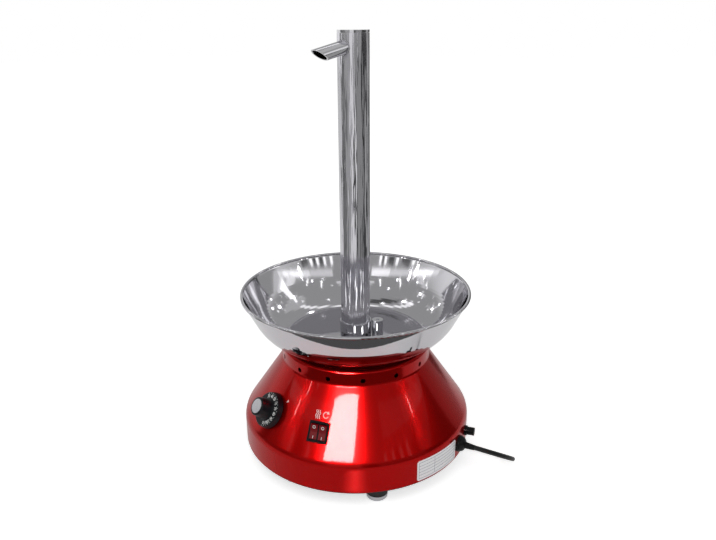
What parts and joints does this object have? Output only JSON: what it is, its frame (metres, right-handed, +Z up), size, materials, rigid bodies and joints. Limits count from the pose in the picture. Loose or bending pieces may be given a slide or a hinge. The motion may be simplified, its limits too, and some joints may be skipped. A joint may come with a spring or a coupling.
{
  "type": "chocolate fountain",
  "caption": "Chocolate fountain with a red conical base, a heated steel bowl and a lift-off screw column ending in a side spout.",
  "frame": {"origin": "on the column's axis, in the plane that the feet stand on", "axes": "+Z up along the column, -Y towards the controls, +X to the right as seen from the controls"},
  "size_m": [0.3355, 0.4089, 0.5095],
  "materials": {
    "red_paint": "gloss",
    "black_paint": "satin",
    "rubber": "matte",
    "polished_steel": "polished",
    "spun_steel": "spun",
    "turned_steel": "turned",
    "zinc_steel": "zinc plated",
    "cast_alloy": "cast",
    "bronze": "sintered",
    "black_plastic": "satin",
    "knob_plastic": "satin",
    "aluminium_disc": "spun",
    "red_plastic": "gloss",
    "pale_plastic": "satin",
    "fuse_glass": "clear",
    "cord_vinyl": "satin",
    "plug_nickel": "plated"
  },
  "bodies": {
    "base": {"housing_shell": "red_paint", "bottom_plate": "black_paint", "plate_screws": "zinc_steel", "foot_cushions": "rubber", "foot_glides": "turned_steel", "foot_nuts": "zinc_steel", "bowl": "spun_steel", "bowl_gasket": "rubber", "bowl_studs": "zinc_steel", "bowl_nuts": "zinc_steel", "heater_ring": "turned_steel", "collar": "polished_steel", "sensor_pocket": "polished_steel", "bowl_hub": "polished_steel", "hub_nut": "turned_steel", "shaft_seal": "rubber", "shaft_bush": "bronze", "standoffs": "zinc_steel", "standoff_screws": "zinc_steel", "motor_plate": "zinc_steel", "gearbox_screws": "zinc_steel", "gearbox": "cast_alloy", "motor": "cast_alloy", "thermostat_body": "pale_plastic", "thermostat_nut": "zinc_steel", "thermostat_bulb": "bronze", "capillary_tube": "bronze", "switch_frame": "black_plastic", "fuse_holder": "black_plastic", "fuse_nut": "black_plastic", "terminal_block": "pale_plastic", "cord_gland": "black_plastic", "gland_nut": "black_plastic", "power_cord": "cord_vinyl", "cord_coil": "cord_vinyl", "cord_tie": "black_plastic", "cord_tail": "cord_vinyl", "plug_body": "black_plastic", "plug_pins": "plug_nickel"},
    "column": {"column_tube": "polished_steel", "column_cap": "polished_steel", "column_pin": "polished_steel", "spout": "polished_steel"},
    "drive": {"auger_shaft": "polished_steel", "auger_flight": "polished_steel", "drive_shaft": "turned_steel", "shaft_coupling": "turned_steel", "output_shaft": "turned_steel"},
    "thermostat_dial": {"knob": "knob_plastic", "knob_insert": "aluminium_disc", "thermostat_shaft": "turned_steel"},
    "left_switch": {"rocker_left": "red_plastic"},
    "right_switch": {"rocker_right": "red_plastic"},
    "fuse_carrier": {"fuse_cap": "black_plastic", "fuse": "fuse_glass"}
  },
  "joints": [
    {"name": "auger_drive", "type": "hinge", "parent": "base", "child": "drive", "pos_m": [0, 0, 0.14], "axis": [0, 0, 1], "continuous": true},
    {"name": "column_lift", "type": "slide", "parent": "base", "child": "column", "axis": [0, 0, 1], "range_m": [0, 0.36]},
    {"name": "thermostat_knob", "type": "hinge", "parent": "base", "child": "thermostat_dial", "pos_m": [-0.10108, -0.06895, 0.0814], "axis": [-0.6808, -0.4644, 0.5664], "range_deg": [-270, 0]},
    {"name": "left_rocker_tilt", "type": "hinge", "parent": "base", "child": "left_switch", "pos_m": [-0.04767, -0.11191, 0.07995], "axis": [-0.9361, 0.3518, 0], "range_deg": [0, 18]},
    {"name": "right_rocker_tilt", "type": "hinge", "parent": "base", "child": "right_switch", "pos_m": [-0.03784, -0.11561, 0.07995], "axis": [-0.9361, 0.3518, 0], "range_deg": [0, 18]},
    {"name": "fuse_cap_turn", "type": "hinge", "parent": "base", "child": "fuse_carrier", "pos_m": [0.13474, -0.04639, 0.037], "axis": [0.9455, -0.3256, 0], "range_deg": [0, 90]}
  ]
}
